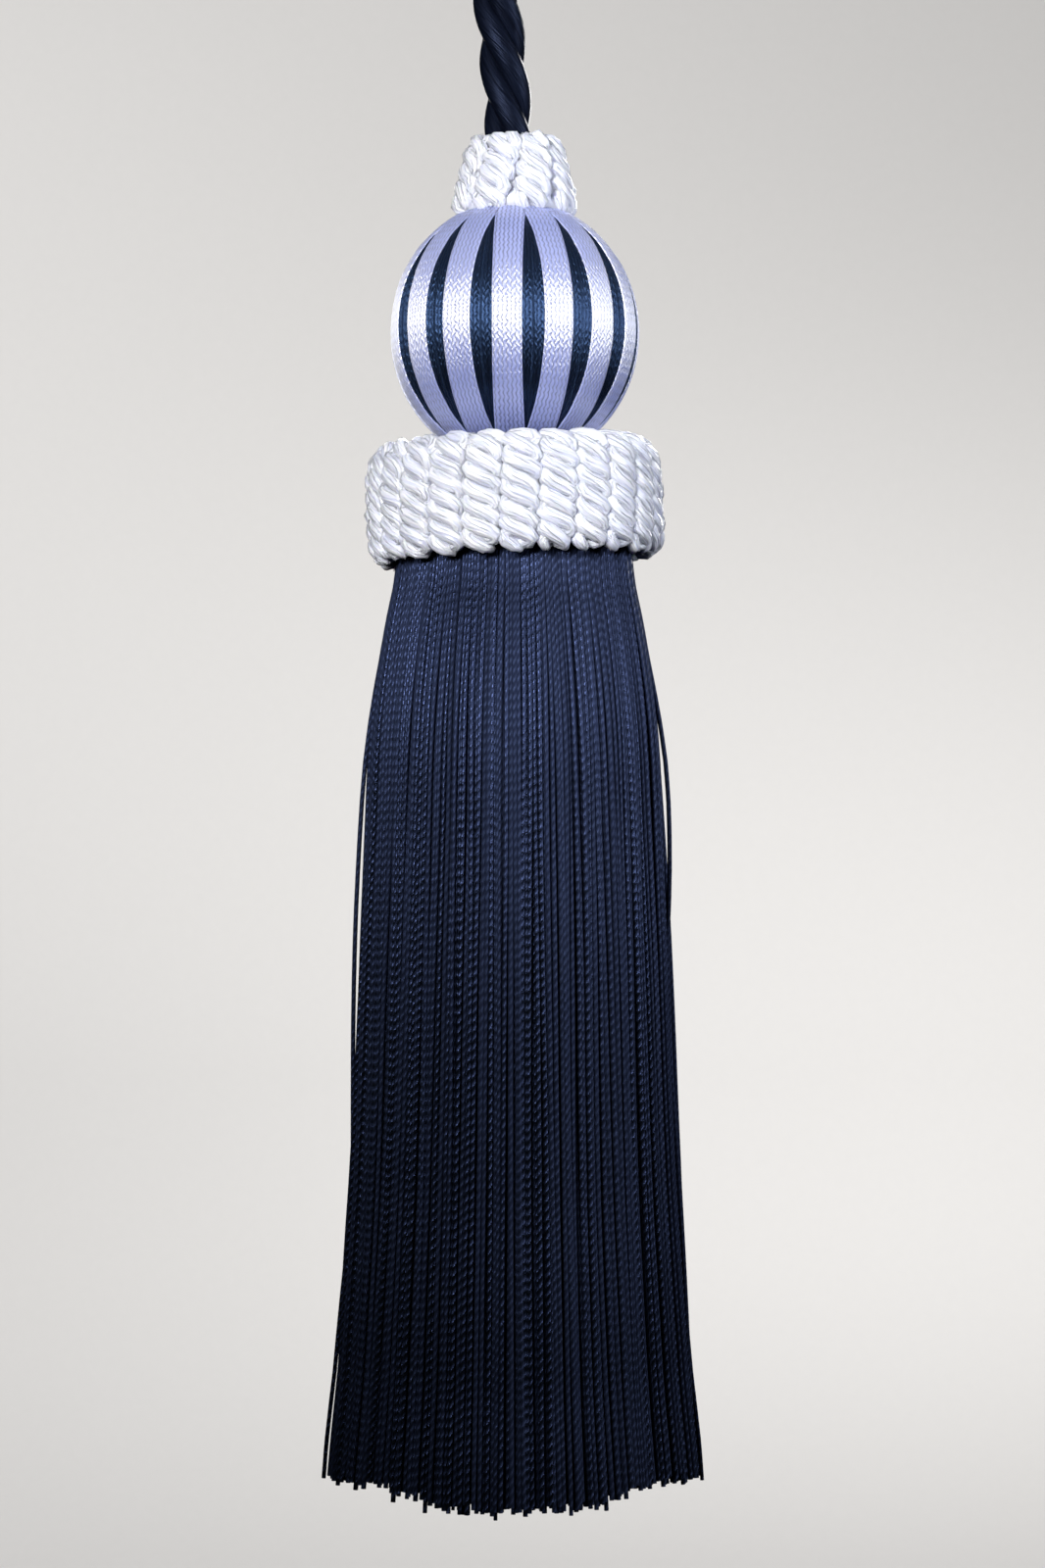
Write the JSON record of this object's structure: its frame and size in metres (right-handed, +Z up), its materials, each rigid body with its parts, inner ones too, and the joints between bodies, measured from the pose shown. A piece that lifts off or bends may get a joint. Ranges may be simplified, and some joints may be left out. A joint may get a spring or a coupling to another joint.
{
  "type": "key tassel",
  "caption": "Hanging tassel with a twisted navy cord and bound loop, a ball covered in navy and white ribbon, two white cord ruffs and a navy cut-fringe skirt.",
  "frame": {"origin": "the point inside the top of the hanging loop where the cord bears on the hook or knob that holds it", "axes": "+Z up along the hanging tassel, -Y out of its front, +X to the right as seen from the front"},
  "size_m": [0.0609, 0.0608, 0.3172],
  "materials": {
    "navy_cord": "navy satin rayon, three smooth plies twisted into a cord",
    "binding_thread": "navy rayon thread wound close",
    "white_floss": "soft white rayon floss cord with a high sheen",
    "white_ribbon": "white satin ribbon with fine lengthwise threads",
    "navy_satin": "navy satin threads laid from top to bottom over the ball",
    "navy_yarn": "fine two-ply navy rayon yarn, cut straight at the hem"
  },
  "bodies": {
    "root": {"cord": "navy_cord", "loop_binding": "binding_thread", "neck_ruff": "white_floss", "band_ruff": "white_floss", "ball": "navy_satin", "skirt": "navy_yarn", "ribbon_01": "white_ribbon", "ribbon_02": "white_ribbon", "ribbon_03": "white_ribbon", "ribbon_04": "white_ribbon", "ribbon_05": "white_ribbon", "ribbon_06": "white_ribbon", "ribbon_07": "white_ribbon", "ribbon_08": "white_ribbon", "ribbon_09": "white_ribbon", "ribbon_10": "white_ribbon", "ribbon_11": "white_ribbon", "ribbon_12": "white_ribbon", "ribbon_13": "white_ribbon", "ribbon_14": "white_ribbon", "ribbon_15": "white_ribbon"}
  },
  "joints": []
}
